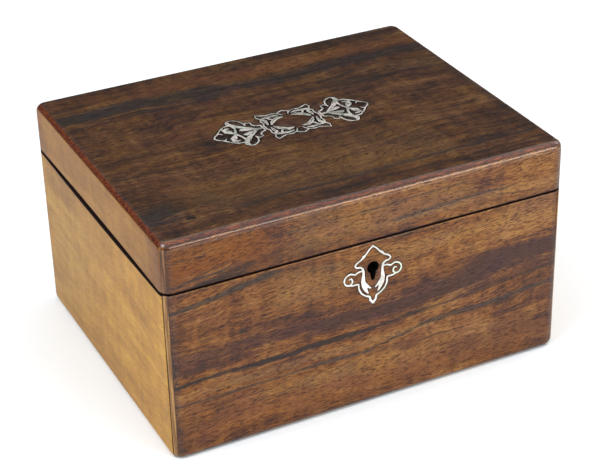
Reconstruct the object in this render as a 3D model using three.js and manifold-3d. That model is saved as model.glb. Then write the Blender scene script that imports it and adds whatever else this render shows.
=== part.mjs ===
// A nineteenth-century table box: a walnut carcass that was glued up closed, rounded over and then sawn
// into a box and a lid, hung on two brass butt hinges, locked by a box lock let into the front, and inlaid
// with pierced mother-of-pearl fretwork on the lid and round the keyhole.
// Millimetres, +Z up, the front faces -Y, and the origin is the middle of the underside.
import * as THREE from 'three';
import { mergeVertices } from 'three/addons/utils/BufferGeometryUtils.js';
import Module from 'manifold-3d';

const wasm = await Module();
wasm.setup();

// ---- driving dimensions ----
const WIDTH = 280; // along X
const DEPTH = 224; // along Y
const HEIGHT = 154;
const CORNER_RADIUS = 7; // upright corners, in plan
const EDGE_RADIUS = 5; // round-over along the top and bottom edges
const WALL = 9;
const FLOOR = 6;
const LID_TOP = 8;
const LID_HEIGHT = 33.6;
const SAW_GAP = 1.2; // what the saw took out between the box and the lid
const FIT_GAP = 0.3; // between a fitted piece and its recess
const LID_GLUE_LINE = 0.75; // round the shell in the lid, where dark glue shows as an outline
const KEYHOLE_GLUE_LINE = 0.5; // the same, round the shell at the keyhole

const FRONT = -DEPTH / 2;
const BACK = DEPTH / 2;
const LID_RIM = HEIGHT - LID_HEIGHT;
const BOX_RIM = LID_RIM - SAW_GAP;
const BEYOND = 20; // how far a cutter runs past what it cuts

// ---- geometry helpers ----
function toSolid(geometry) {
  const bare = geometry.index ? geometry.toNonIndexed() : geometry.clone();
  bare.deleteAttribute('normal');
  bare.deleteAttribute('uv');
  const merged = mergeVertices(bare, 1e-4);
  return new wasm.Manifold(new wasm.Mesh({
    numProp: 3,
    vertProperties: merged.attributes.position.array,
    triVerts: new Uint32Array(merged.index.array),
  }));
}

function toGeometry(solid) {
  const mesh = solid.asOriginal().getMesh();
  const geometry = new THREE.BufferGeometry();
  geometry.setAttribute('position', new THREE.BufferAttribute(new Float32Array(mesh.vertProperties), 3));
  geometry.setIndex(new THREE.BufferAttribute(new Uint32Array(mesh.triVerts), 1));
  geometry.computeVertexNormals();
  return geometry;
}

function join(solids) {
  return solids.reduce((whole, next) => whole.add(next));
}

// A block between two opposite corners.
function block([x0, y0, z0], [x1, y1, z1]) {
  const geometry = new THREE.BoxGeometry(x1 - x0, y1 - y0, z1 - z0);
  return toSolid(geometry.translate((x0 + x1) / 2, (y0 + y1) / 2, (z0 + z1) / 2));
}

// A round bar along X.
function barAlongX(radius, x0, x1, y, z, sides = 16) {
  const geometry = new THREE.CylinderGeometry(radius, radius, x1 - x0, sides);
  return toSolid(geometry.rotateZ(Math.PI / 2).translate((x0 + x1) / 2, y, z));
}

// An outline drawn on the front face (x, and z for its y), as a plate that runs back from y0 to y1.
function frontPlate(shape, y0, y1) {
  const depth = y1 - y0;
  const geometry = new THREE.ExtrudeGeometry(shape, { depth, bevelEnabled: false, curveSegments: 12 });
  return toSolid(geometry.rotateX(Math.PI / 2).translate(0, y1, 0));
}

// ---- carcass ----
function roundedRectangle(width, depth, radius) {
  const x = width / 2 - radius;
  const y = depth / 2 - radius;
  const shape = new THREE.Shape();
  shape.absarc(x, -y, radius, -Math.PI / 2, 0, false);
  shape.absarc(x, y, radius, 0, Math.PI / 2, false);
  shape.absarc(-x, y, radius, Math.PI / 2, Math.PI, false);
  shape.absarc(-x, -y, radius, Math.PI, Math.PI * 1.5, false);
  return shape;
}

// The closed carcass before it is sawn apart: upright corners rounded in plan, and the top and bottom
// edges rounded over.
function closedCarcass() {
  const inward = 2 * EDGE_RADIUS;
  const outline = roundedRectangle(WIDTH - inward, DEPTH - inward, CORNER_RADIUS - EDGE_RADIUS);
  const geometry = new THREE.ExtrudeGeometry(outline, {
    depth: HEIGHT - inward,
    bevelThickness: EDGE_RADIUS,
    bevelSize: EDGE_RADIUS,
    bevelSegments: 5,
    curveSegments: 5,
  });
  return toSolid(geometry.translate(0, 0, EDGE_RADIUS)).asOriginal();
}

function cavity(z0, z1) {
  return block([WALL - WIDTH / 2, FRONT + WALL, z0], [WIDTH / 2 - WALL, BACK - WALL, z1]);
}

// ---- fretwork inlay ----
// Each stroke is a smooth line through a few points, [u, v, width there], tapering as its widths say.
const INLAY_THICKNESS = 1;
const FAIRING = 0.09; // outline points that stand out less than this are dropped

// One end of the lid inlay, back half: u runs out from the middle of the lid, v towards the back.
const END_CARTOUCHE = [
  [[56.2, -0.3, 1.1], [54.6, 2.8, 1.1], [51.6, 5.2, 1.1], [49.6, 8, 1.1], [47.2, 10.6, 1.2], [44.4, 12.9, 1.3],
    [41, 13.4, 1.1], [38.6, 13, 1]], // pointed outer border
  [[51.4, 5.6, 1.1], [49.8, 4.6, 0.9], [48.8, 3.2, 0.4]], // thorn on the border
  [[40.2, -0.4, 1.4], [42.4, 2.6, 3], [44.6, 5.4, 4.6], [45.3, 8, 3.4], [43.8, 9.9, 1.8],
    [42, 9.4, 1.4]], // outer leaf
  [[45, 8.4, 2], [47.4, 10.2, 1.4]], // its stalk, out to the border
  [[26.6, 1.2, 1.4], [30.2, 4.2, 2.6], [33.8, 7.4, 3], [37.5, 11.6, 4.2], [39, 15, 2.4],
    [38.8, 18.4, 0.9]], // plume
  [[40.2, 13.4, 1], [40.9, 16, 1.1], [39.8, 18.6, 1.1], [37.4, 19.8, 1.1], [34.6, 19, 1.1], [31.8, 16.2, 1.1],
    [30.4, 12.2, 1.1], [30.6, 8.4, 1]], // border over the plume
  [[38.2, 10.4, 1.9], [38.4, 7, 1.5], [39.4, 3.6, 1.5], [40.8, -0.2, 1.4]], // root of the plume
  [[29.6, 1.4, 1.6], [32.4, 2.6, 2.8], [35, 3.7, 3.2], [36.4, 3.2, 1.4]], // lobe under the plume
  [[30.8, 8.6, 1], [28.9, 11.8, 1.2], [25.9, 10.6, 1.2], [26.2, 7.2, 1.3], [24.2, 5.2, 1.3], [21.4, 4, 1.3],
    [21.2, -0.3, 1.2]], // stem scroll
  [[21, 0, 1.3], [25, 0.3, 1.5], [30, 1.8, 2]], // stem
];

// The middle of the lid inlay, one quarter of it.
const CENTRE_CARTOUCHE = [
  [[-0.3, 17.4, 1.1], [2.6, 16.2, 1.1], [4.6, 14.6, 1.1], [8, 16, 1.1], [12, 15.4, 1.1], [15.4, 16.8, 1.2],
    [18.8, 18.4, 1.2], [19.6, 15, 1.1], [17.8, 11.4, 1.4], [19.2, 8.4, 1.2], [18.4, 5.2, 1.2], [19.8, 2.4, 1.2],
    [19.6, -0.3, 1.2]], // border
  [[4.4, 14.8, 1.1], [3, 12.8, 1], [2, 10.6, 0.5]], // thorn
  [[3, 8.4, 0.8], [6.6, 8.9, 3.6], [9.8, 6.8, 3], [12.6, 4.2, 2.8], [14.4, 1.4, 0.9]], // inner leaf
  [[4.8, 12, 0.7], [8.4, 12.9, 2.2], [12, 12.4, 2.2], [15.4, 12, 2.6], [17.8, 11.6, 1.6]], // crescent leaf
  [[10.2, 7, 1.6], [12, 9, 1.3], [13.2, 12, 1.8]], // stalk between the two leaves
  [[17.9, 11, 1.4], [15.8, 8.6, 2.6], [16.2, 5.6, 2.2], [16.6, 2, 0.7]], // side leaf
];
const FRONT_STRETCH = 1.06; // its front half was cut a little longer than its back half

// Right half of the keyhole escutcheon, from the middle of the keyhole's round head.
const ESCUTCHEON = [
  [[-0.3, 15.4, 1.1], [2.4, 13.4, 1], [4.4, 10.8, 1.1], [6.4, 9.1, 1.9], [8.2, 7.2, 1.1], [10.8, 6, 1.1],
    [12.5, 4, 1.1], [11.2, 2.4, 1.1], [9, 2.3, 1.3]], // roof and shoulder
  [[9.2, 2.4, 1.2], [7.2, 0.6, 1.5], [6.7, -3.6, 1.6], [7, -8.2, 2.8], [6.2, -12, 3.4], [4.9, -15.6, 2.2],
    [3.4, -18.1, 0.7]], // great leaf
  [[6.6, -9, 1.8], [4.5, -12.4, 2.4], [1.5, -14.8, 0.7]], // its inner lobe
  [[7, -0.8, 1.1], [10.2, -0.9, 1.1], [12.6, -2.1, 1.1], [15.4, -0.8, 1.1], [18.8, -2, 1.1], [20.3, -5, 1.2],
    [18.9, -8, 1.2], [16.2, -8.7, 1.2], [14.4, -6.8, 1.2], [15.2, -4.3, 1.1], [17, -4.6, 0.7]], // side scroll
  [[16.4, -8.8, 1.1], [13.8, -9.6, 1.1], [10.2, -9.7, 1.1], [10, -12.8, 1.1], [8.2, -17, 1.1], [4.8, -19.8, 1.1],
    [2.3, -21, 1.4], [2, -23.4, 1.6], [-0.4, -26, 1.6]], // lower border and finial
];

// One stroke as a plate, with a blunt point at each end and so many straight pieces from each of its
// points to the next. grow widens it all round.
function strokeSolid(stroke, pieces, [flipU, flipV], grow, depth) {
  const spine = stroke.map(([u, v]) => new THREE.Vector3(u * flipU, v * flipV, 0));
  const path = new THREE.CatmullRomCurve3(spine, false, 'centripetal');
  const spans = stroke.length - 1;
  const steps = spans * pieces;
  const oneSide = [];
  const otherSide = [];
  for (let i = 0; i <= steps; i += 1) {
    const here = i / pieces;
    const span = Math.min(Math.floor(here), spans - 1);
    const half = THREE.MathUtils.lerp(stroke[span][2], stroke[span + 1][2], here - span) / 2 + grow;
    const point = path.getPoint(i / steps);
    const along = path.getTangent(i / steps);
    const off = (forward, left) => new THREE.Vector2(
      point.x + along.x * forward - along.y * left,
      point.y + along.y * forward + along.x * left,
    );
    if (i === 0) oneSide.push(off(-0.7 * half, 0));
    oneSide.push(off(0, half));
    otherSide.push(off(0, -half));
    if (i === steps) oneSide.push(off(0.7 * half, 0));
  }
  const outline = new THREE.Shape([...oneSide, ...otherSide.reverse()]);
  return toSolid(new THREE.ExtrudeGeometry(outline, { depth, bevelEnabled: false }));
}

// Strokes repeated by their mirrors and run together into one plate, from z = 0 up to depth.
// grow widens every stroke, which makes the recess that the fretwork sits in.
function fretwork({ strokes, pieces, mirrors }, grow = 0, depth = INLAY_THICKNESS) {
  const plates = mirrors.flatMap(
    (mirror) => strokes.map((stroke) => strokeSolid(stroke, pieces, mirror, grow, depth)),
  );
  return join(plates).asOriginal().simplify(FAIRING);
}

const RECESS_DEPTH = INLAY_THICKNESS + FIT_GAP;
const LID_INLAY_CENTRE = [0.8, 0.2]; // it was set a little to the right of the lid's middle
const LID_INLAYS = {
  lid_inlay_left: { strokes: END_CARTOUCHE, pieces: 1, mirrors: [[-1, 1], [-1, -1]] },
  lid_inlay_centre: {
    strokes: CENTRE_CARTOUCHE,
    pieces: 1,
    mirrors: [[1, 1], [-1, 1], [-1, -FRONT_STRETCH], [1, -FRONT_STRETCH]],
  },
  lid_inlay_right: { strokes: END_CARTOUCHE, pieces: 1, mirrors: [[1, 1], [1, -1]] },
};
const KEYHOLE_INLAY = { strokes: ESCUTCHEON, pieces: 2, mirrors: [[1, 1], [-1, 1]] };

function lidInlay(inlay) {
  return fretwork(inlay).translate([...LID_INLAY_CENTRE, HEIGHT - INLAY_THICKNESS]);
}

function lidRecess(inlay) {
  const cutter = fretwork(inlay, LID_GLUE_LINE, RECESS_DEPTH + BEYOND);
  return cutter.translate([...LID_INLAY_CENTRE, HEIGHT - RECESS_DEPTH]);
}

// ---- keyhole and escutcheon ----
const KEYHOLE_Z = 100.8; // middle of the round head
const KEYHOLE_RADIUS = 4.2;
const KEYHOLE_DROP = 9.3; // from the middle of the head to the foot of the slot
const SLOT_TOP = 4.4; // width where the slot leaves the head
const SLOT_FOOT = 2.8;

function keyholeShape() {
  const meet = Math.asin(SLOT_TOP / 2 / KEYHOLE_RADIUS);
  const foot = SLOT_FOOT / 2;
  const shape = new THREE.Shape();
  shape.absarc(0, KEYHOLE_Z, KEYHOLE_RADIUS, meet - Math.PI / 2, Math.PI * 1.5 - meet, false);
  shape.absarc(0, KEYHOLE_Z - KEYHOLE_DROP + foot, foot, Math.PI, Math.PI * 2, false);
  return shape;
}

// A flat fretwork plate turned onto the front face, its show side outwards at y = FRONT.
function ontoFront(plate, depth) {
  return plate.rotate([90, 0, 0]).translate([0, FRONT + depth, KEYHOLE_Z]);
}

function escutcheon() {
  return ontoFront(fretwork(KEYHOLE_INLAY), INLAY_THICKNESS);
}

function escutcheonRecess() {
  return ontoFront(fretwork(KEYHOLE_INLAY, KEYHOLE_GLUE_LINE, RECESS_DEPTH + BEYOND), RECESS_DEPTH);
}

// ---- box lock, let into the front from inside, and its link plate in the lid ----
const LOCK = {
  width: 60,
  height: 32,
  thickness: 5.6, // from the inner face of the front wall
  plate: 1.2,
  caseWidth: 44,
  linkX: 10, // middle of each link, either side of the lock's middle
  linkWidth: 4.6,
  linkThickness: 1.8,
  linkDrop: 8,
};
const LOCK_BACK = FRONT + WALL;
const LOCK_FACE = LOCK_BACK - LOCK.thickness;
const LINK_Y = (LOCK_FACE + LOCK_BACK - LOCK.plate) / 2;

function lockBody(grow = 0) {
  const halfWidth = LOCK.width / 2 + grow;
  const halfCase = LOCK.caseWidth / 2 + grow;
  const foot = BOX_RIM - LOCK.height - grow;
  const head = BOX_RIM + (grow ? BEYOND : 0);
  const back = LOCK_BACK + (grow ? BEYOND : 0);
  return join([
    block([-halfWidth, LOCK_BACK - LOCK.plate - grow, foot], [halfWidth, back, head]), // cap plate
    block([-halfWidth, LOCK_FACE - grow, BOX_RIM - LOCK.plate - grow], [halfWidth, back, head]), // selvedge
    block([-halfCase, LOCK_FACE - grow, foot], [halfCase, back, head]), // case
  ]);
}

function linkBlock(side, grow, z0, z1) {
  const x = side * LOCK.linkX;
  return block(
    [x - LOCK.linkWidth / 2 - grow, LINK_Y - LOCK.linkThickness / 2 - grow, z0],
    [x + LOCK.linkWidth / 2 + grow, LINK_Y + LOCK.linkThickness / 2 + grow, z1],
  );
}

function boxLock() {
  const keyWay = frontPlate(keyholeShape(), LOCK_FACE - BEYOND, LOCK_BACK - LOCK.plate);
  const slots = [-1, 1].map((side) => linkBlock(side, 0.9, BOX_RIM - LOCK.linkDrop - 2, BOX_RIM + BEYOND));
  return lockBody().subtract(keyWay).subtract(join(slots));
}

// The links are staples: each has a square eye for the bolt.
function linkPlate() {
  const plate = block(
    [-LOCK.width / 2 + 8, LOCK_FACE, LID_RIM],
    [LOCK.width / 2 - 8, LOCK_BACK - LOCK.plate, LID_RIM + LOCK.plate],
  );
  const links = [-1, 1].map((side) => linkBlock(side, 0, BOX_RIM - LOCK.linkDrop, LID_RIM + LOCK.plate / 2));
  const eyes = [-1, 1].map((side) => block(
    [side * LOCK.linkX - 1.1, LINK_Y - BEYOND, BOX_RIM - LOCK.linkDrop + 1.4],
    [side * LOCK.linkX + 1.1, LINK_Y + BEYOND, BOX_RIM - LOCK.linkDrop + 5.2],
  ));
  return join([plate, ...links]).subtract(join(eyes));
}

function linkPlateRecess() {
  return block(
    [-LOCK.width / 2 + 8 - FIT_GAP, LOCK_FACE - FIT_GAP, LID_RIM - BEYOND],
    [LOCK.width / 2 - 8 + FIT_GAP, LOCK_BACK - LOCK.plate + FIT_GAP, LID_RIM + LOCK.plate + FIT_GAP],
  );
}

// ---- butt hinges ----
const HINGE = {
  x: 78, // middle of each hinge, either side of the box's middle
  length: 40,
  leaf: 1.2,
  inset: 6.4, // how far a leaf reaches in from the back face
  knuckle: 2.4,
  bore: 1.4,
  pin: 1.05,
};
const AXIS_Y = BACK + 1.2;
const AXIS_Z = (BOX_RIM + LID_RIM) / 2;
const KNUCKLE_ENDS = [-0.5, -0.18, 0.18, 0.5].map((share) => share * HINGE.length);
const KNUCKLE_ROOM = HINGE.knuckle + 0.4;

// A leaf with the knuckles that it carries. rim is the face that it is let into; up is 1 for the lid.
function hingeLeaf(x, rim, up, knuckles) {
  const outer = rim + up * HINGE.leaf;
  const [z0, z1] = [Math.min(rim, outer), Math.max(rim, outer)];
  const inner = AXIS_Y - KNUCKLE_ROOM;
  const leaf = block([x - HINGE.length / 2, BACK - HINGE.inset, z0], [x + HINGE.length / 2, inner, z1]);
  const rolled = knuckles.flatMap(([a, b]) => [
    block([x + a, inner - 0.5, z0], [x + b, AXIS_Y - HINGE.bore, z1]),
    barAlongX(HINGE.knuckle, x + a, x + b, AXIS_Y, AXIS_Z),
  ]);
  const bore = barAlongX(HINGE.bore, x - HINGE.length, x + HINGE.length, AXIS_Y, AXIS_Z, 12);
  return join([leaf, ...rolled]).subtract(bore);
}

function lowerLeaf(x) {
  const [a, b, c, d] = KNUCKLE_ENDS;
  return hingeLeaf(x, BOX_RIM, -1, [[a, b - FIT_GAP / 2], [c + FIT_GAP / 2, d]]);
}

function upperLeaf(x) {
  const [, b, c] = KNUCKLE_ENDS;
  return hingeLeaf(x, LID_RIM, 1, [[b + FIT_GAP / 2, c - FIT_GAP / 2]]);
}

function hingePin(x) {
  return barAlongX(HINGE.pin, x - HINGE.length / 2, x + HINGE.length / 2, AXIS_Y, AXIS_Z, 12);
}

// The gain cut for one hinge: a seat for the leaf, and a round trough for the knuckle.
function hingeGain(x, rim, up) {
  const seat = rim + up * (HINGE.leaf + FIT_GAP);
  const half = HINGE.length / 2 + FIT_GAP;
  return join([
    block(
      [x - half, BACK - HINGE.inset - FIT_GAP, Math.min(seat, rim - up * BEYOND)],
      [x + half, BACK + BEYOND, Math.max(seat, rim - up * BEYOND)],
    ),
    barAlongX(KNUCKLE_ROOM, x - half, x + half, AXIS_Y, AXIS_Z),
  ]);
}

// ---- the two halves of the carcass ----
// The end rims have shrunk and worn hollow, so the gap at each end is widest in the middle.
const LID_RIM_HOLLOW = 1.4;
const BOX_RIM_HOLLOW = 0.9;

// Shallow arches, so high in the middle, that stand on z = 0 over the two end walls.
function rimArches(height) {
  const half = DEPTH / 2 - 4;
  const radius = (half * half + height * height) / (2 * height);
  const reach = Math.asin(half / radius);
  const shape = new THREE.Shape();
  shape.absarc(0, height - radius, radius, Math.PI / 2 - reach, Math.PI / 2 + reach, false);
  const depth = WIDTH + BEYOND;
  const arc = new THREE.ExtrudeGeometry(shape, { depth, bevelEnabled: false, curveSegments: 12 });
  arc.rotateX(Math.PI / 2).rotateZ(Math.PI / 2).translate(-depth / 2, 0, 0);
  const keepMiddle = block([1 + WALL - WIDTH / 2, -DEPTH, 0], [WIDTH / 2 - WALL - 1, DEPTH, HEIGHT]);
  return toSolid(arc).subtract(keepMiddle);
}

// An open joint runs down the front left corner, where the end board has shrunk away from the front.
const CORNER_JOINT = { angle: 209, width: 0.5, depth: 1.3, foot: 4 }; // angle in plan, from +X

function cornerJoint() {
  const crack = new THREE.BoxGeometry(2 * CORNER_JOINT.depth, CORNER_JOINT.width, BOX_RIM);
  crack.translate(CORNER_RADIUS, 0, BOX_RIM / 2 + CORNER_JOINT.foot);
  crack.rotateZ(THREE.MathUtils.degToRad(CORNER_JOINT.angle));
  return toSolid(crack.translate(CORNER_RADIUS - WIDTH / 2, FRONT + CORNER_RADIUS, 0));
}

function boxBody() {
  const below = block([-WIDTH, -DEPTH, -BEYOND], [WIDTH, DEPTH, BOX_RIM]);
  return closedCarcass()
    .intersect(below)
    .subtract(cavity(FLOOR, HEIGHT))
    .subtract(frontPlate(keyholeShape(), FRONT - BEYOND, FRONT + WALL + BEYOND))
    .subtract(rimArches(BOX_RIM_HOLLOW).mirror([0, 0, 1]).translate([0, 0, BOX_RIM]))
    .subtract(escutcheonRecess())
    .subtract(lockBody(FIT_GAP))
    .subtract(join([-1, 1].map((side) => hingeGain(side * HINGE.x, BOX_RIM, -1))))
    .subtract(cornerJoint());
}

function lidBody() {
  const above = block([-WIDTH, -DEPTH, LID_RIM], [WIDTH, DEPTH, HEIGHT + BEYOND]);
  return closedCarcass()
    .intersect(above)
    .subtract(cavity(0, HEIGHT - LID_TOP))
    .subtract(rimArches(LID_RIM_HOLLOW).translate([0, 0, LID_RIM]))
    .subtract(linkPlateRecess())
    .subtract(join([-1, 1].map((side) => hingeGain(side * HINGE.x, LID_RIM, 1))))
    .subtract(join(Object.values(LID_INLAYS).map(lidRecess)));
}

// ---- materials ----
const walnut = new THREE.MeshStandardMaterial({ color: 0x7a5233, roughness: 0.38, metalness: 0 });
const darkWalnut = new THREE.MeshStandardMaterial({ color: 0x4f3524, roughness: 0.34, metalness: 0 });
const pearl = new THREE.MeshStandardMaterial({ color: 0xd9d6cb, roughness: 0.28, metalness: 0 });
const brass = new THREE.MeshStandardMaterial({ color: 0xa8873f, roughness: 0.4, metalness: 1 });

function piece(name, solid, material) {
  const mesh = new THREE.Mesh(toGeometry(solid), material);
  mesh.name = name;
  return mesh;
}

// ---- assembly ----
const box = new THREE.Group();
box.add(
  piece('box_body', boxBody(), walnut),
  piece('keyhole_escutcheon', escutcheon(), pearl),
  piece('box_lock', boxLock(), brass),
);

const lid = new THREE.Group();
lid.add(piece('lid', lidBody(), darkWalnut), piece('lock_link_plate', linkPlate(), brass));
for (const [name, inlay] of Object.entries(LID_INLAYS)) lid.add(piece(name, lidInlay(inlay), pearl));

for (const [side, x] of [['left', -HINGE.x], ['right', HINGE.x]]) {
  box.add(
    piece(`${side}_hinge_lower_leaf`, lowerLeaf(x), brass),
    piece(`${side}_hinge_pin`, hingePin(x), brass),
  );
  lid.add(piece(`${side}_hinge_upper_leaf`, upperLeaf(x), brass));
}

const shellBox = new THREE.Group();
shellBox.add(box, lid);

export default shellBox;
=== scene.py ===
"""A nineteenth-century walnut table box, inlaid with mother-of-pearl, dressed on its CAD frame."""

import math

import bpy
from mathutils import Matrix, Vector


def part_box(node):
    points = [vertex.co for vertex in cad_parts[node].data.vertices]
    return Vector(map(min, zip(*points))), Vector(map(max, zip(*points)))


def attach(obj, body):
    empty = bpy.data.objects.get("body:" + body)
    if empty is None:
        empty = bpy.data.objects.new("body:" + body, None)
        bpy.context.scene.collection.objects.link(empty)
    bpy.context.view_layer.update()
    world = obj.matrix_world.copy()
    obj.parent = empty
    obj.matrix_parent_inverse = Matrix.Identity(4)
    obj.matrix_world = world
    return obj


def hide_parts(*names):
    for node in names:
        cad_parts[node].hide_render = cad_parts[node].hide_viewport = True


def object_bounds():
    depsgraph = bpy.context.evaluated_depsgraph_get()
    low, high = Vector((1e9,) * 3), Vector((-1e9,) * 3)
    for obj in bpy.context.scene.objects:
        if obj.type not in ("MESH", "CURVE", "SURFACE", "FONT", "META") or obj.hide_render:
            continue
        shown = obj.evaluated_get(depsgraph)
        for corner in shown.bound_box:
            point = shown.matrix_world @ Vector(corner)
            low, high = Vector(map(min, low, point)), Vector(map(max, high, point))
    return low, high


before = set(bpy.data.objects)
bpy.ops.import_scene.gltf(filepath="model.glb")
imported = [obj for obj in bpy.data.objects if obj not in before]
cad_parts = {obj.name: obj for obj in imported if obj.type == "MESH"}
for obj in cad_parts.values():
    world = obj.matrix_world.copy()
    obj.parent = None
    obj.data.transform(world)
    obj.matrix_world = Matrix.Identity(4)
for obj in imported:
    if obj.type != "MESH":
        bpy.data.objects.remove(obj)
cad_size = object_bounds()
MM = 0.001

# ---------------------------------------------------------------------------
# Box. A carcass of boards faced with figured walnut veneer and french polished.
# It was glued up closed with the lid, its edges were rounded over, and the lid
# was then sawn off it. It stands on its flat underside.

# Sizes and places are in millimetres.
TO_MM = 1000.0
CASE_CORNER = Vector(cad_size[1]) * TO_MM
HALF_WIDTH = CASE_CORNER.x
HALF_DEPTH = -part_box("box_body")[0][1] * TO_MM
LID_TOP_Z = CASE_CORNER.z
BOX_RIM_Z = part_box("box_body")[1][2] * TO_MM
SAW_GAP = 1.2
SAW_CUT_Z = BOX_RIM_Z + SAW_GAP / 2
WALL = 9.0
VENEER = 0.9
CORNER_RADIUS = 7.0
EDGE_RADIUS = 5.0
# The strip down each corner, and the joint that has opened beside it: how much further they are from
# the end of the case than from its front.
STRIP_END_SIDE = -2.55
STRIP_FRONT_SIDE = 2.0
OPEN_JOINT = -2.73
# The open joint lies within these distances of the left end and of the front.
OPEN_JOINT_FROM_END = 10.0
OPEN_JOINT_FROM_FRONT = 22.0
# How far down the case the top's red-brown edge comes.
EDGE_DROP_FRONT = 1.7
EDGE_DROP_END = 2.5
# Painted shade on the ends beside the gap: half its height at the corners, and how much more at the middle.
END_GAP_SHADE = 1.3
END_GAP_SHADE_RISE = 1.5
KEYHOLE_HEAD_Z = 100.8
KEYHOLE_FOOT_Z = 92.9
ESCUTCHEON_Z = 95.0

PURPLE = (0.078, 0.030, 0.021)
INK = (0.026, 0.017, 0.016)
SLATE = (0.060, 0.044, 0.032)
GOLDEN = (0.330, 0.165, 0.052)
ORANGE = (0.270, 0.098, 0.024)
WHITE = (1.0, 1.0, 1.0)
GLUE_BLACK = (0.008, 0.006, 0.005)
# Painted shade: black for the sawn rims inside the gap.
GAP_SHADE_BLACK = (0.014, 0.005, 0.004)

# Outline of the lid's scrollwork and of the clear window in its middle, a quarter of each, from the
# inlay's middle: distance along and distance across, as shares of the two lengths below.
SCROLL_LENGTH = 60.0
SCROLL_REACH = 20.0
SCROLL_OUTLINE = (
    (0.000, 0.82), (0.077, 0.70), (0.308, 0.88), (0.327, 0.15), (0.358, 0.17), (0.433, 0.53), (0.517, 0.72),
    (0.583, 0.95), (0.650, 0.95), (0.683, 0.69), (0.783, 0.53), (0.867, 0.27), (0.950, 0.00),
)
SCROLL_WINDOW = ((0.000, 0.75), (0.042, 0.45), (0.150, 0.38), (0.233, 0.15), (0.267, 0.00), (1.000, 0.00))
LID_INLAY_CENTRE = (0.8, 0.2)

# Figure of the front: colour, strength, height at the middle, slope, half width, from, to, taper.
BOX_FIGURE = (
    (GOLDEN, 0.55, 47.0, 0.01, 3.5, -110, 30, 25),
    (GOLDEN, 0.50, 100.0, 0.00, 15.0, -62, -24, 15),
    (GOLDEN, 0.30, 24.0, 0.00, 16.0, -40, 45, 15),
    (GOLDEN, 0.50, 32.0, 0.02, 6.0, -70, 5, 25),
    (GOLDEN, 0.50, 107.0, 0.03, 9.0, 20, 125, 25),
    (ORANGE, 0.50, 16.0, 0.00, 10.0, -120, 130, 25),
    (PURPLE, 0.70, 73.0, 0.02, 9.0, -135, -60, 20),
    (PURPLE, 1.00, 69.0, 0.03, 10.0, -35, 75, 20),
    (PURPLE, 1.00, 74.0, 0.05, 18.0, 75, 140, 20),
    (PURPLE, 0.30, 22.0, 0.00, 22.0, 65, 140, 20),
    (INK, 0.90, 57.5, 0.025, 2.2, -134, -70, 12),
    (INK, 0.90, 57.5, 0.055, 3.2, -80, 30, 20),
    (INK, 0.60, 57.0, 0.055, 1.8, 50, 140, 20),
    (SLATE, 0.80, 40.5, 0.010, 1.5, -140, -15, 12),
    (SLATE, 0.80, 41.5, 0.190, 1.7, -5, 40, 8),
    (SLATE, 0.75, 48.0, 0.030, 2.2, 45, 140, 15),
    (SLATE, 0.85, 122.0, 0.110, 2.4, -135, -70, 15),
    (INK, 0.50, 36.0, 0.020, 0.9, 40, 110, 15),
    (INK, 0.80, 81.0, 0.0, 1.8, -91, -89, 3),
    (INK, 0.60, 29.0, 0.0, 2.2, -109, -106, 3),
)


class Reading:
    """What a node puts out over the surface: a place, a colour, or a number with its arithmetic."""

    def __init__(self, tree, socket):
        self.tree = tree
        self.socket = socket

    def maths(self, operation, *others):
        made = add(self.tree, "ShaderNodeMath", dict(enumerate((self, *others))), operation=operation)
        return Reading(self.tree, made.outputs[0])

    def __add__(self, other):
        return self.maths("ADD", other)

    def __sub__(self, other):
        return self.maths("SUBTRACT", other)

    def __rsub__(self, number):
        made = add(self.tree, "ShaderNodeMath", {0: number, 1: self}, operation="SUBTRACT")
        return Reading(self.tree, made.outputs[0])

    def __mul__(self, other):
        return self.maths("MULTIPLY", other)

    def __truediv__(self, other):
        return self.maths("DIVIDE", other)

    def __abs__(self):
        return self.maths("ABSOLUTE")


def add(tree, kind, inputs=None, **settings):
    """A new node, with its settings, and its inputs set to values or linked to readings."""
    made = tree.nodes.new(kind)
    for name, value in settings.items():
        setattr(made, name, value)
    for name, value in (inputs or {}).items():
        socket = made.inputs[name]
        if isinstance(value, Reading):
            tree.links.new(value.socket, socket)
        elif socket.type == "RGBA":
            socket.default_value = (*value, 1.0)
        else:
            socket.default_value = value
    return made


def larger(one, other):
    return one.maths("MAXIMUM", other)


def smaller(one, other):
    return one.maths("MINIMUM", other)


def fade(value, start, end):
    """0 where the reading is at start, 1 at end, and smooth between them."""
    inputs = {"Value": value, "From Min": start, "From Max": end}
    made = add(value.tree, "ShaderNodeMapRange", inputs, interpolation_type="SMOOTHSTEP")
    return Reading(value.tree, made.outputs["Result"])


def between(value, low, high):
    """Low where the reading is 0, and high where it is 1."""
    made = add(value.tree, "ShaderNodeMapRange", {"Value": value, "To Min": low, "To Max": high})
    return Reading(value.tree, made.outputs["Result"])


def blend(share, first, second, blend_type="MIX"):
    """The first colour with the second laid over it to the given share."""
    # Sockets 6 and 7 are the mix node's two colours.
    inputs = {"Factor": share, 6: first, 7: second}
    made = add(first.tree, "ShaderNodeMix", inputs, data_type="RGBA", blend_type=blend_type)
    return Reading(first.tree, made.outputs[2])


def tinted(share, colour, tint):
    """The colour multiplied by a tint, to the given share."""
    return blend(share, colour, tint, "MULTIPLY")


def ramp(value, stops):
    """The colour that the listed stops give for the reading."""
    made = add(value.tree, "ShaderNodeValToRGB", {"Fac": value})
    elements = made.color_ramp.elements
    while len(elements) < len(stops):
        elements.new(1.0)
    for element, (place, colour) in zip(elements, stops):
        element.position = place
        element.color = (*colour, 1.0)
    return Reading(value.tree, made.outputs["Color"])


def profile(value, points):
    """The height of a jointed outline at the reading."""
    return ramp(value, [(along, (height, height, height)) for along, height in points])


def axes(place):
    """The X, Y and Z of a place."""
    made = add(place.tree, "ShaderNodeSeparateXYZ", {0: place})
    return [Reading(place.tree, output) for output in made.outputs]


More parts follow.
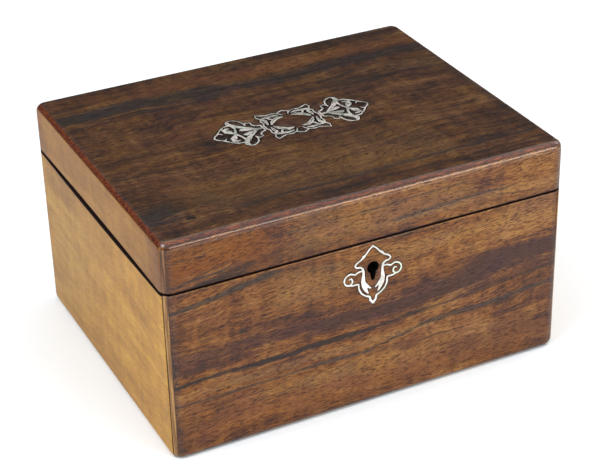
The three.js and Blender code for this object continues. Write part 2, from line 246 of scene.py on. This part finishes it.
def point(tree, x=0.0, y=0.0, z=0.0):
    return Reading(tree, add(tree, "ShaderNodeCombineXYZ", {0: x, 1: y, 2: z}).outputs[0])


def vector_maths(operation, first, second, output="Vector"):
    made = add(first.tree, "ShaderNodeVectorMath", {0: first, 1: second}, operation=operation)
    return Reading(first.tree, made.outputs[output])


def scaled(place, scale):
    made = add(place.tree, "ShaderNodeVectorMath", {0: place, "Scale": scale}, operation="SCALE")
    return Reading(place.tree, made.outputs[0])


def place_in_mm(tree):
    """Where a point of the surface lies while the lid is shut, in millimetres."""
    return scaled(Reading(tree, add(tree, "ShaderNodeTexCoord").outputs["Object"]), TO_MM)


def noise(place, cell, detail=3.0, roughness=0.5, distortion=0.0):
    """Noise whose cells are so many millimetres long on each axis."""
    scale = tuple(1.0 / length for length in cell)
    sized = add(place.tree, "ShaderNodeMapping", {"Vector": place, "Scale": scale})
    inputs = {
        "Vector": Reading(place.tree, sized.outputs[0]),
        "Scale": 1.0,
        "Detail": detail,
        "Roughness": roughness,
        "Distortion": distortion,
    }
    return Reading(place.tree, add(place.tree, "ShaderNodeTexNoise", inputs).outputs["Fac"])


def new_group(name, inputs):
    """An empty node group, and the readings from its named inputs. A place has no default."""
    group = bpy.data.node_groups.new(name, "ShaderNodeTree")
    for socket, default in inputs.items():
        kind = "NodeSocketVector" if default is None else "NodeSocketFloat"
        made = group.interface.new_socket(socket, in_out="INPUT", socket_type=kind)
        if default is not None:
            made.default_value = default
    sockets = group.nodes.new("NodeGroupInput").outputs
    return group, {socket: Reading(group, sockets[socket]) for socket in inputs}


def finish_group(group, results):
    """Gives the group a named output for each of the results."""
    for name in results:
        group.interface.new_socket(name, in_out="OUTPUT", socket_type="NodeSocketFloat")
    sockets = group.nodes.new("NodeGroupOutput").inputs
    for name, result in results.items():
        group.links.new(result.socket, sockets[name])
    return group


def use_group(tree, group, inputs):
    """The readings that a node group gives for these inputs, by name."""
    made = add(tree, "ShaderNodeGroup", inputs, node_tree=group)
    return {output.name: Reading(tree, output) for output in made.outputs}


def depth_under(from_one, from_other, radius):
    """How far a point lies inside two faces that meet in a round-over of that radius."""
    one = larger(radius - from_one, 0.0)
    other = larger(radius - from_other, 0.0)
    return radius - (one * one + other * other).maths("SQRT")


def boards_group():
    """Tells from a point's place which board of the case it is on, and how far it is from the joints."""
    group, source = new_group("case_boards", {"Vector": None})
    x, y, z = axes(source["Vector"])
    from_end = HALF_WIDTH - abs(x)
    from_front = HALF_DEPTH - abs(y)
    below_top = LID_TOP_Z - z
    below_rim = BOX_RIM_Z - z
    above_cut = z - SAW_CUT_Z
    from_outside = smaller(from_end, from_front)
    from_top_or_foot = smaller(below_top, z)
    below_skin = depth_under(depth_under(from_end, from_front, CORNER_RADIUS), from_top_or_foot, EDGE_RADIUS)

    # The boards, the strip down each corner, and the top with its edge.
    past_corner = from_end - from_front
    ends = fade(past_corner, STRIP_END_SIDE + 0.15, STRIP_END_SIDE - 0.15)
    front = fade(past_corner, STRIP_FRONT_SIDE - 0.1, STRIP_FRONT_SIDE + 0.1)
    strip = 1.0 - ends - front
    under_edge = below_top - between(ends, EDGE_DROP_FRONT, EDGE_DROP_END)
    top = fade(under_edge, 0.1, -0.1)
    sides = 1.0 - top
    core = fade(below_skin, VENEER - 0.1, VENEER + 0.1)
    in_case = fade(from_outside, WALL - 0.1, WALL + 0.1) * fade(from_top_or_foot, WALL + 0.1, WALL - 0.1)

    # The sawn rims, painted black as shade in the gap, and painted shade round them.
    gap_shade = fade(abs(above_cut), 3.0, 2.4) * fade(below_skin, 0.05, 0.2)
    gap_shade = gap_shade * fade(from_outside, WALL - 0.02, WALL - 0.1)
    along_end = y / HALF_DEPTH
    beside_gap = abs(above_cut) - ((1.0 - along_end * along_end) * END_GAP_SHADE_RISE + END_GAP_SHADE)
    # Painted shade on the lid's lower arris just over the gap.
    shaded_arris = fade(above_cut, 1.4, 1.0) * fade(above_cut, 0.0, 0.2)
    shade_beside_gap = larger(fade(beside_gap, 0.2, -0.2) * ends, shaded_arris)
    gap_shade = larger(gap_shade, shade_beside_gap * fade(below_skin, VENEER, VENEER - 0.1))

    # Dark joint lines, and the open joint down the front left corner of the box.
    edge_line = fade(abs(under_edge), 0.28, 0.1)
    strip_line = fade(abs(past_corner - STRIP_FRONT_SIDE), 0.3, 0.1) * sides
    crack = fade(abs(past_corner - OPEN_JOINT), 0.6, 0.3)
    crack = crack * fade(x + HALF_WIDTH, OPEN_JOINT_FROM_END, OPEN_JOINT_FROM_END - 1.0)
    crack = crack * fade(y + HALF_DEPTH, OPEN_JOINT_FROM_FRONT, OPEN_JOINT_FROM_FRONT - 1.0)
    crack = crack * fade(z, BOX_RIM_Z + 0.5, BOX_RIM_Z + 0.2)
    joint_line = larger(larger(edge_line, strip_line), crack)

    # Where hands have left dirt on the box, a painted highlight along its arris under the gap, painted shade
    # on the lid's front over the gap, and where the polish is thick.
    # Painted highlight: a pale band along the box's arris just under the gap.
    arris_highlight = fade(below_rim, 0.05, 0.3) * fade(below_rim, 1.3, 0.6)
    handled = fade(abs(past_corner), 26.0, 4.0) * fade(above_cut, 0.2, 4.2) * ends * sides
    beside_strip = fade(past_corner, 9.0, 2.2) * front
    # Painted shade on the lid's front just over the gap.
    shade_over_gap = fade(above_cut, 2.2, 0.7) * fade(above_cut, 0.0, 0.2)
    upright = fade(larger(from_end, from_front), 8.0, 5.5) * 0.35
    along_top = fade(larger(from_outside, below_top), 5.6, 4.4) * (1.0 - ends * 0.8)

    return finish_group(group, {
        "Ends": ends * sides,
        "Turned": ends * (1.0 - in_case),
        "Corner Strip": strip * sides,
        "Top": top,
        "Top Edge": top * fade(below_top, 0.08, 0.5),
        "Core": core,
        "Gap Shade": gap_shade,
        "Joint Line": joint_line,
        "Arris Highlight": arris_highlight,
        "Handled": handled,
        "Grime And Gap Shade": larger(beside_strip, shade_over_gap),
        "Round": larger(upright, along_top) * fade(below_skin, 1.2, 0.9),
        "Lid": fade(above_cut, 0.0, 0.4),
    })


def grain_group():
    """Figure along X: broad zones, streaks, fine lines, short pores, and the sway that they all share."""
    group, source = new_group("walnut_grain", {"Vector": None, "Waves": 1.0, "Tilt": 0.0})
    place = source["Vector"]
    drift = noise(place, (120, 50, 50), detail=2.0) - 0.5
    ripple = (noise(place, (30, 34, 34), detail=2.0) - 0.5) * source["Waves"]
    sway = ripple * 10.0 + drift * 22.0
    swayed = vector_maths("ADD", place, point(group, z=sway))
    along = axes(place)[0]
    leaning = vector_maths("SUBTRACT", swayed, point(group, z=along * source["Tilt"]))
    return finish_group(group, {
        "Zones": noise(swayed, (60, 15, 15), roughness=0.55),
        "Streaks": noise(swayed, (85, 4.6, 4.6), detail=4.0, roughness=0.6),
        "Lines": noise(leaning, (11, 0.8, 0.8), detail=4.0, roughness=0.75),
        "Pores": fade(noise(leaning, (3.4, 0.6, 0.6), detail=1.0), 0.53, 0.62),
        "Sway": sway,
        "Mottle": noise(place, (8, 30, 22), detail=2.0),
    })


def band_group():
    """One dark or pale band of the figure, frayed along its edges and fading out at its ends."""
    group, source = new_group("grain_band", {
        "Vector": None, "Sway": 0.0, "Streaks": 0.5, "Lines": 0.5,
        "Centre": 0.0, "Slope": 0.0, "Half Width": 2.0, "From": -100.0, "To": 100.0, "Taper": 25.0,
    })
    along, _, height = axes(source["Vector"])
    half_width = source["Half Width"]
    off_middle = source["Sway"] * 0.35 + (height - (along * source["Slope"] + source["Centre"]))
    ragged = source["Streaks"] * 1.6 + source["Lines"] - 1.3
    fray = half_width * 1.3 + 0.4
    mask = fade(ragged * fray + abs(off_middle), half_width, half_width * 0.3)
    mask = mask * fade(along, source["From"] - source["Taper"], source["From"])
    mask = mask * fade(along, source["To"] + source["Taper"], source["To"])
    return finish_group(group, {"Mask": mask})


def keyhole_shade_group():
    """Painted shade inside the keyhole, on whatever lies behind the show face near it."""
    group, source = new_group("keyhole_shade", {"Vector": None, "Reach": 4.6})
    x, y, z = axes(source["Vector"])
    beyond = larger(z - KEYHOLE_HEAD_Z, 0.0) + larger(KEYHOLE_FOOT_Z - z, 0.0)
    away = (x * x + beyond * beyond).maths("SQRT")
    near = fade(away, source["Reach"] + 0.3, source["Reach"])
    behind = y + HALF_DEPTH
    return finish_group(group, {"Mask": near * fade(behind, 0.1, 0.3) * fade(behind, 10.0, 8.0)})


def glue_group():
    """Dark glue on the walls and floors of the inlay recesses, and on the shell's edges in them."""
    group, source = new_group("inlay_glue", {"Vector": None})
    x, y, z = axes(source["Vector"])

    def in_recess(depth):
        return fade(depth, 0.03, 0.12) * fade(depth, 2.2, 1.8)

    on_top = in_recess(LID_TOP_Z - z) * fade(abs(x), 66.0, 62.0) * fade(abs(y), 28.0, 25.0)
    on_front = in_recess(y + HALF_DEPTH) * fade(abs(x), 28.0, 26.0) * fade(abs(z - ESCUTCHEON_Z), 25.0, 22.5)
    return finish_group(group, {"Mask": larger(on_top, on_front)})


BOARDS = boards_group()
GRAIN = grain_group()
BAND = band_group()
KEYHOLE_SHADE = keyhole_shade_group()
GLUE = glue_group()


def new_material(name):
    """A new material, its node tree and its shader."""
    made = bpy.data.materials.new(name)
    made.use_nodes = True
    return made, made.node_tree, made.node_tree.nodes["Principled BSDF"]


def feed(shader, **readings):
    """Links readings to the shader's sockets, whose names have spaces for underscores."""
    for name, reading in readings.items():
        reading.tree.links.new(reading.socket, shader.inputs[name.replace("_", " ")])


def relief(height, strength, distance):
    """The normal of a surface with this relief, whose full height is so many millimetres."""
    inputs = {"Height": height, "Strength": strength, "Distance": distance * MM}
    made = add(height.tree, "ShaderNodeBump", inputs)
    return Reading(height.tree, made.outputs["Normal"])


def from_inlay_middle(place):
    """How far a point lies along and across from the middle of the lid's inlay, and its height."""
    x, y, z = axes(place)
    return abs(x - LID_INLAY_CENTRE[0]), abs(y - LID_INLAY_CENTRE[1]), z


def scroll_stain(place):
    """Where the wood within the lid's scrollwork has been darkened by the glue that fills its saw cuts."""
    along, across, height = from_inlay_middle(place)
    along = along / SCROLL_LENGTH
    across = across / SCROLL_REACH
    in_outline = fade(across - profile(along, SCROLL_OUTLINE), 0.03, -0.03)
    off_window = fade(across - profile(along, SCROLL_WINDOW), -0.05, 0.02)
    return in_outline * off_window * fade(height, LID_TOP_Z - 1.0, LID_TOP_Z - 0.5)


def along_boards(place, board):
    """The place as measured along each board's own grain."""
    x, y, z = axes(place)
    along = blend(board["Turned"], place, point(place.tree, y, x, z))
    return blend(board["Top"], along, point(place.tree, x, z, y))


def figured(colour, along, grain, bands):
    """The colour with each listed band of the figure laid over it."""
    for tint, strength, centre, slope, half_width, start, end, taper in bands:
        inputs = {
            "Vector": along, "Sway": grain["Sway"], "Streaks": grain["Streaks"], "Lines": grain["Lines"],
            "Centre": centre, "Slope": slope, "Half Width": half_width,
            "From": start, "To": end, "Taper": taper,
        }
        mask = use_group(colour.tree, BAND, inputs)["Mask"]
        colour = blend(mask * strength, colour, tint)
    return colour


def veneer_colour(place, along, board, grain, front_figure, top_figure):
    """Colours of the veneers of the front, the ends, the corner strips and the top."""
    y = axes(place)[1]
    tone = grain["Zones"] * 0.42 + grain["Streaks"] * 0.34
    tone = tone + grain["Lines"] * 0.36 + grain["Mottle"] * 0.24 - 0.18
    front = ramp(tone, (
        (0.36, (0.050, 0.021, 0.014)),
        (0.44, (0.140, 0.048, 0.015)),
        (0.52, (0.240, 0.090, 0.020)),
        (0.63, (0.360, 0.170, 0.048)),
    ))
    front = blend(fade(y, 50.0, -50.0), front, figured(front, along, grain, front_figure))
    end = ramp(tone, (
        (0.36, (0.286, 0.132, 0.026)),
        (0.50, (0.413, 0.204, 0.036)),
        (0.62, (0.498, 0.270, 0.051)),
    ))
    # The box's ends are paler towards the front.
    paler_to_front = larger(fade(y, 40.0, -70.0) - board["Lid"], 0.0)
    end = tinted(paler_to_front, end, (1.24, 1.24, 1.08))
    end = tinted(board["Lid"] * 0.8, end, (0.74, 0.62, 0.44))
    strip = ramp(noise(place, (0.9, 0.9, 30), detail=2.0), (
        (0.38, (0.150, 0.062, 0.018)),
        (0.52, (0.340, 0.165, 0.045)),
        (0.62, (0.480, 0.265, 0.085)),
    ))
    strip = tinted(board["Lid"] * 0.85, strip, (0.50, 0.40, 0.42))
    top = ramp(tone, (
        (0.36, (0.014, 0.008, 0.006)),
        (0.45, (0.043, 0.017, 0.008)),
        (0.54, (0.082, 0.035, 0.012)),
        (0.65, (0.140, 0.072, 0.024)),
    ))
    top = figured(top, along, grain, top_figure)
    top_edge = ramp(grain["Lines"], (
        (0.36, (0.030, 0.005, 0.002)),
        (0.50, (0.115, 0.020, 0.004)),
        (0.64, (0.250, 0.062, 0.010)),
    ))
    colour = blend(board["Ends"], front, end)
    colour = blend(board["Corner Strip"], colour, strip)
    colour = tinted(board["Handled"] * 0.8, colour, (0.62, 0.46, 0.55))
    # Dirt on the front beside the corner strip, and painted shade on the lid's front just over the gap.
    colour = tinted(board["Grime And Gap Shade"] * 0.7, colour, (0.36, 0.30, 0.32))
    # Painted highlight: a pale band along the box's arris just under the gap.
    colour = blend(board["Arris Highlight"] * 0.45, colour, (0.36, 0.22, 0.11))
    colour = blend(board["Top"], colour, top)
    return blend(board["Top Edge"], colour, top_edge)


def with_pores(colour, along, board, grain):
    """The colour with the wood's dark lines, open pores and faint purple and golden patches."""
    plain = larger(board["Ends"], board["Corner Strip"])
    share = 1.0 - plain * 0.72
    lines = ramp(grain["Lines"], ((0.36, (0.42, 0.38, 0.38)), (0.50, WHITE)))
    pores = ramp(grain["Pores"], ((0.0, WHITE), (1.0, (0.46, 0.38, 0.35))))
    patches = noise(along, (30, 18, 18), roughness=0.6)
    patches = ramp(patches, ((0.40, (0.90, 0.84, 1.0)), (0.50, WHITE), (0.60, (1.0, 0.94, 0.74))))
    for layer in (lines, pores, patches):
        colour = tinted(share, colour, layer)
    return colour


def walnut(name, front_figure, top_figure):
    """French-polished walnut veneer over plainer core wood, with the figure listed for its front and top."""
    made, tree, shader = new_material(name)
    place = place_in_mm(tree)
    board = use_group(tree, BOARDS, {"Vector": place})
    along = along_boards(place, board)
    level = 1.0 - larger(board["Turned"], board["Top"])
    grain = use_group(tree, GRAIN, {
        "Vector": along, "Waves": between(board["Top"], 0.3, 1.0), "Tilt": level * 0.07,
    })

    colour = veneer_colour(place, along, board, grain, front_figure, top_figure)
    colour = with_pores(colour, along, board, grain)
    colour = blend(board["Joint Line"] * 0.85, colour, GLUE_BLACK)
    core = ramp(grain["Lines"], ((0.35, (0.070, 0.028, 0.012)), (0.65, (0.160, 0.072, 0.028))))
    colour = blend(board["Core"], colour, core)
    # Painted shade: the sawn rims black, and the ends and the lid's lower arris darkened beside the gap.
    colour = blend(board["Gap Shade"], colour, GAP_SHADE_BLACK)
    colour = tinted(scroll_stain(place) * 0.75, colour, (0.20, 0.17, 0.16))
    shade_in_keyhole = use_group(tree, KEYHOLE_SHADE, {"Vector": place})["Mask"]
    glue = use_group(tree, GLUE, {"Vector": place})["Mask"]
    # Dark glue in the inlay recesses, and painted shade in the keyhole.
    glue_and_keyhole_shade = larger(shade_in_keyhole, glue)
    colour = blend(glue_and_keyhole_shade, colour, GLUE_BLACK)

    dull = larger(board["Core"] * 0.65, larger(board["Gap Shade"], glue_and_keyhole_shade))
    bare = larger(larger(board["Core"], board["Gap Shade"]), glue_and_keyhole_shade)
    polish = board["Round"] * 0.75 + between(board["Ends"], 0.2, 0.04)
    feed(
        shader,
        Base_Color=colour,
        Roughness=larger(between(grain["Lines"], 0.38, 0.58), dull),
        Coat_Weight=(1.0 - bare) * polish,
        Normal=relief(grain["Lines"] * 0.5 - grain["Pores"], 0.3, 0.06),
    )
    shader.inputs["Specular IOR Level"].default_value = 0.16
    shader.inputs["Coat Roughness"].default_value = 0.2
    return made


SMOOTH_BELOW = math.radians(32)
JOIN_WITHIN = 0.001 * MM


def finished_copy(node, name, body, material):
    """The CAD node's shape as one joined skin with smooth round-overs, shown in the node's place."""
    piece = bpy.data.objects.new(name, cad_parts[node].data.copy())
    bpy.context.scene.collection.objects.link(piece)
    bpy.ops.object.select_all(action="DESELECT")
    piece.select_set(True)
    bpy.context.view_layer.objects.active = piece
    bpy.ops.object.mode_set(mode="EDIT")
    bpy.ops.mesh.select_all(action="SELECT")
    bpy.ops.mesh.remove_doubles(threshold=JOIN_WITHIN)
    bpy.ops.object.mode_set(mode="OBJECT")
    bpy.ops.object.shade_smooth_by_angle(angle=SMOOTH_BELOW)
    weigh = piece.modifiers.new("even_shading", "WEIGHTED_NORMAL")
    weigh.keep_sharp = True
    weigh.weight = 100
    bpy.ops.object.modifier_apply(modifier=weigh.name)
    piece.data.materials.clear()
    piece.data.materials.append(material)
    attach(piece, body)
    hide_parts(node)


BOX_WALNUT = walnut("box_french_polished_walnut", front_figure=BOX_FIGURE, top_figure=())
finished_copy("box_body", "walnut_box", "box", BOX_WALNUT)

# ---------------------------------------------------------------------------
# Lid. The upper part of the same carcass, so the front's figure runs on up it.
# Its top is a darker, wavy piece of veneer with a red-brown polished edge.

LID_ORANGE = (0.225, 0.066, 0.003)
TOP_SLATE = (0.024, 0.017, 0.015)
TOP_INK = (0.010, 0.006, 0.006)
TOP_ORANGE = (0.120, 0.046, 0.015)
TOP_GOLD = (0.150, 0.080, 0.026)

LID_FRONT_FIGURE = (
    (GOLDEN, 0.55, 128.0, 0.02, 4.0, 20, 130, 25),
    (GOLDEN, 0.45, 136.0, 0.00, 14.0, -45, 60, 20),
    (LID_ORANGE, 0.85, 136.0, 0.00, 16.0, -140, -85, 25),
    (INK, 0.80, 140.5, 0.000, 0.9, -138, -114, 5),
    (INK, 0.75, 155.0, 0.230, 0.8, -118, -98, 5),
    (INK, 0.80, 126.8, 0.000, 0.9, -124, -104, 5),
    # This row is painted shade on the lid's front just over the gap, at its left.
    (INK, 0.80, 121.8, 0.000, 1.4, -122, -90, 8),
    (SLATE, 0.80, 139.0, 0.110, 1.3, -130, -95, 12),
    (INK, 0.70, 135.0, 0.110, 2.4, -112, -85, 12),
    (SLATE, 0.70, 129.5, 0.040, 1.3, 20, 95, 12),
    (SLATE, 0.50, 142.0, 0.030, 0.9, -60, 60, 12),
    (INK, 0.60, 140.0, -0.120, 1.2, 90, 120, 12),
)
# Figure of the top, where the third value is the distance back from the middle.
TOP_FIGURE = (
    (TOP_ORANGE, 0.60, 86.0, -0.03, 8.0, -60, 130, 30),
    (TOP_INK, 0.55, 102.0, 0.00, 9.0, 0, 140, 30),
    (TOP_ORANGE, 0.50, 18.0, 0.00, 10.0, -70, -35, 20),
    (TOP_ORANGE, 0.45, -50.0, 0.00, 16.0, -110, -95, 15),
    (TOP_SLATE, 1.00, 66.5, -0.040, 15.0, -175, -35, 25),
    (TOP_SLATE, 0.75, 68.0, -0.030, 9.5, -20, 150, 25),
    (TOP_SLATE, 0.35, 40.0, 0.00, 16.0, 60, 140, 25),
    # This row darkens the top along its right edge.
    (TOP_SLATE, 0.60, -12.0, 0.00, 80.0, 134, 142, 6),
    (TOP_GOLD, 0.30, -66.0, 0.00, 34.0, -90, 60, 25),
    (TOP_INK, 0.80, 61.0, 0.000, 1.0, -122, -75, 8),
    (TOP_INK, 0.80, 70.5, 0.100, 1.0, -75, -20, 8),
    (TOP_INK, 0.70, 68.5, -0.060, 1.3, -20, 30, 12),
    (TOP_INK, 0.60, 66.0, -0.020, 1.6, 30, 120, 15),
    (TOP_INK, 0.50, 47.0, 0.010, 1.0, -30, 50, 15),
    (TOP_INK, 0.55, 36.0, -0.020, 1.0, 5, 85, 12),
    (TOP_INK, 0.80, -31.0, 0.0, 0.9, 10, 115, 10),
    (TOP_INK, 0.65, -25.0, 0.0, 0.8, -133, -75, 6),
    (TOP_INK, 0.65, -47.0, 0.0, 0.8, 70, 105, 6),
    (TOP_INK, 0.60, -80.0, 0.0, 0.9, 62, 139, 8),
    (TOP_INK, 0.45, -62.0, 0.0, 0.9, -60, 30, 15),
    (TOP_SLATE, 0.70, -88.0, 0.02, 3.0, -70, 130, 20),
    (TOP_INK, 0.50, -99.0, 0.02, 1.4, -20, 130, 15),
    (TOP_SLATE, 0.95, -76.0, 0.0, 20.0, -150, -120, 14),
    (TOP_INK, 1.00, -89.0, 0.0, 3.4, -112, -108, 2),
    (TOP_INK, 0.90, -92.5, 0.0, 1.3, -92, -88, 3),
    (TOP_INK, 0.90, -42.0, 0.0, 1.1, 54.5, 55.5, 1),
)
LID_WALNUT = walnut("lid_french_polished_walnut", front_figure=LID_FRONT_FIGURE, top_figure=TOP_FIGURE)
finished_copy("lid", "walnut_lid", "lid", LID_WALNUT)

# ---------------------------------------------------------------------------
# Shell inlay. Pierced scrollwork sawn from thin mother-of-pearl, let in flush
# with the lid's top and round the keyhole, engraved, and bedded in dark glue.

ENGRAVING_BLACK = (0.03, 0.028, 0.022)
# Engraved lines: from, to, each as distance along and across from the inlay's middle.
ENGRAVED = (
    ((41.4, 2.3), (41.4, 7.2)),
    ((33.2, 5.6), (36.0, 6.4)),
    ((36.0, 6.4), (37.1, 4.2)),
    ((34.8, 10.2), (37.4, 14.4)),
    ((37.4, 14.4), (38.2, 17.0)),
    ((44.0, 5.0), (44.2, 8.6)),
    ((29.0, 2.6), (32.0, 5.0)),
    ((5.4, 9.4), (10.2, 7.2)),
    ((10.2, 7.2), (13.2, 3.6)),
    ((8.6, 13.0), (14.6, 12.2)),
    ((16.4, 4.0), (16.4, 8.4)),
)


def engraving_group():
    """One straight cut of the graver, repeated by the inlay's two mirrors."""
    group, source = new_group("engraved_line", {"Vector": None, "From": None, "To": None, "Half Width": 0.26})
    arm = vector_maths("SUBTRACT", source["To"], source["From"])
    reach = vector_maths("SUBTRACT", source["Vector"], source["From"])
    share = vector_maths("DOT_PRODUCT", arm, reach, "Value") / vector_maths("DOT_PRODUCT", arm, arm, "Value")
    share = Reading(group, add(group, "ShaderNodeClamp", {"Value": share}).outputs[0])
    off_line = vector_maths("DISTANCE", reach, scaled(arm, share), "Value")
    half_width = source["Half Width"]
    return finish_group(group, {"Mask": fade(off_line, half_width + 0.12, half_width - 0.08)})


ENGRAVING = engraving_group()


def engraved(colour, place, cuts):
    """The colour with the listed cuts of the graver blackened in it."""
    along, across, _ = from_inlay_middle(place)
    folded = point(colour.tree, along, across)
    cut = None
    for start, end in cuts:
        inputs = {"Vector": folded, "From": (*start, 0.0), "To": (*end, 0.0)}
        line = use_group(colour.tree, ENGRAVING, inputs)["Mask"]
        cut = larger(line, cut) if cut else line
    return blend(cut * 0.85, colour, ENGRAVING_BLACK)


def mother_of_pearl(name, pale, grey, green, rose, cuts=()):
    """Polished shell: cloudy layers, a faint green and rose shimmer, and its engraved cuts."""
    made, tree, shader = new_material(name)
    place = place_in_mm(tree)
    layers = noise(place, (7, 7, 7), distortion=1.2)
    shimmer = noise(place, (13, 13, 13), detail=1.0)
    colour = ramp(layers, ((0.38, grey), (0.56, pale)))
    colour = tinted(0.8, colour, ramp(shimmer, ((0.38, green), (0.50, WHITE), (0.62, rose))))
    if cuts:
        colour = engraved(colour, place, cuts)
    glue = use_group(tree, GLUE, {"Vector": place})["Mask"]
    feed(
        shader,
        Base_Color=blend(glue, colour, GLUE_BLACK),
        Roughness=between(layers, 0.25, 0.42),
        Normal=relief(layers, 0.3, 0.05),
    )
    shader.inputs["Specular IOR Level"].default_value = 0.4
    shader.inputs["Coat Weight"].default_value = 0.15
    shader.inputs["Coat Roughness"].default_value = 0.12
    return made


LID_SHELL = mother_of_pearl(
    "lid_mother_of_pearl",
    pale=(0.44, 0.42, 0.385),
    grey=(0.20, 0.20, 0.175),
    green=(0.88, 0.94, 0.90),
    rose=(1.0, 0.91, 0.94),
    cuts=ENGRAVED,
)
KEYHOLE_SHELL = mother_of_pearl(
    "keyhole_mother_of_pearl",
    pale=(0.92, 0.91, 0.86),
    grey=(0.66, 0.66, 0.58),
    green=(0.90, 0.96, 0.80),
    rose=(1.0, 0.94, 0.92),
)
for side in ("left", "centre", "right"):
    finished_copy(f"lid_inlay_{side}", f"shell_scrolls_{side}", "lid", LID_SHELL)
finished_copy("keyhole_escutcheon", "shell_escutcheon", "box", KEYHOLE_SHELL)

# ---------------------------------------------------------------------------
# Brass fittings. Two butt hinges let into the back rims, and a box lock let
# into the inside of the front, with its link plate in the lid's rim.

# Painted shade: black for the lock behind the keyhole.
KEYHOLE_SHADE_BLACK = (0.006, 0.004, 0.003)
LOCK_SHADE_REACH = 6.5


def aged_brass(name):
    """Cast brass with brown tarnish, fine scratches along it, and painted shade, black, behind the keyhole.
    """
    made, tree, shader = new_material(name)
    place = place_in_mm(tree)
    tarnish = noise(place, (3.8, 3.8, 3.8), detail=5.0)
    colour = ramp(tarnish, (
        (0.38, (0.150, 0.092, 0.035)),
        (0.52, (0.420, 0.270, 0.095)),
        (0.66, (0.560, 0.390, 0.150)),
    ))
    # Painted shade: the brass behind the keyhole is black.
    shade_in_keyhole = use_group(tree, KEYHOLE_SHADE, {"Vector": place, "Reach": LOCK_SHADE_REACH})["Mask"]
    scratches = noise(place, (3.3, 0.25, 0.25), detail=2.0)
    feed(
        shader,
        Base_Color=blend(shade_in_keyhole, colour, KEYHOLE_SHADE_BLACK),
        Roughness=between(tarnish, 0.60, 0.28),
        Normal=relief(scratches, 0.25, 0.03),
    )
    shader.inputs["Metallic"].default_value = 1.0
    return made


BRASS = aged_brass("aged_brass")
for side in ("left", "right"):
    finished_copy(f"{side}_hinge_lower_leaf", f"{side}_lower_leaf", "box", BRASS)
    finished_copy(f"{side}_hinge_pin", f"{side}_pin", "box", BRASS)
    finished_copy(f"{side}_hinge_upper_leaf", f"{side}_upper_leaf", "lid", BRASS)
finished_copy("box_lock", "brass_lock", "box", BRASS)
finished_copy("lock_link_plate", "brass_link_plate", "lid", BRASS)

# ---------------------------------------------------------------------------
# Studio. A pale floor under a bright sky, a key light from the left, a low soft
# light in front on the right, a large one high on the right, and the camera.

AIM = Vector((0, 0, LID_TOP_Z / 2 * MM))
FLOOR_WIDTH = 30.0

bpy.ops.mesh.primitive_plane_add(size=FLOOR_WIDTH)
floor = bpy.context.active_object
floor.name = "studio_floor"
FLOOR_PAINT, _, floor_shader = new_material("studio_floor_paint")
floor_shader.inputs["Base Color"].default_value = (0.90, 0.94, 0.97, 1.0)
floor_shader.inputs["Roughness"].default_value = 0.9
floor.data.materials.append(FLOOR_PAINT)

world = bpy.data.worlds.new("studio_sky")
bpy.context.scene.world = world
world.use_nodes = True
sky = world.node_tree
heading = Reading(sky, add(sky, "ShaderNodeTexCoord").outputs["Generated"])
sky_tone = ramp(axes(heading)[2], ((0.45, (0.05, 0.05, 0.05)), (0.75, WHITE)))
sky.links.new(sky_tone.socket, sky.nodes["Background"].inputs["Color"])
sky.nodes["Background"].inputs["Strength"].default_value = 1.22


def softbox(name, place, size, power):
    lamp = bpy.data.lights.new(name, "AREA")
    lamp.shape = "RECTANGLE"
    lamp.size, lamp.size_y = size
    lamp.energy = power
    light = bpy.data.objects.new(name, lamp)
    bpy.context.scene.collection.objects.link(light)
    turn = (AIM - Vector(place)).to_track_quat("-Z", "Y").to_matrix().to_4x4()
    light.matrix_world = Matrix.Translation(place) @ turn


softbox("key_light", place=(-1.0, -0.28, 1.5), size=(0.7, 0.7), power=16)
softbox("front_light", place=(0.56, -1.2, 0.62), size=(0.9, 0.25), power=7)
softbox("right_light", place=(1.7, 0.1, 1.3), size=(1.2, 1.2), power=14)

CAMERA_AZIMUTH = math.radians(-25.656)
CAMERA_ELEVATION = math.radians(29.756)
CAMERA_ROLL = math.radians(-1.549)
CAMERA_DISTANCE = 1182.69 * MM
CAMERA_ASIDE = -3.867 * MM
CAMERA_RISE = 9.689 * MM
camera_data = bpy.data.cameras.new("studio_camera")
camera_data.lens = 104.53
camera_data.sensor_width = 36
camera_data.clip_start = 0.05
camera = bpy.data.objects.new("studio_camera", camera_data)
bpy.context.scene.collection.objects.link(camera)
bpy.context.scene.camera = camera
back = Vector((
    math.sin(CAMERA_AZIMUTH) * math.cos(CAMERA_ELEVATION),
    -math.cos(CAMERA_AZIMUTH) * math.cos(CAMERA_ELEVATION),
    math.sin(CAMERA_ELEVATION),
))
level = Vector((0, 0, 1)).cross(back).normalized()
upright = back.cross(level)
right = level * math.cos(CAMERA_ROLL) + upright * math.sin(CAMERA_ROLL)
up = upright * math.cos(CAMERA_ROLL) - level * math.sin(CAMERA_ROLL)
spot = AIM + back * CAMERA_DISTANCE - right * CAMERA_ASIDE - up * CAMERA_RISE
camera.matrix_world = Matrix.Translation(spot) @ Matrix((right, up, back)).transposed().to_4x4()

bpy.context.scene.view_settings.view_transform = "Standard"
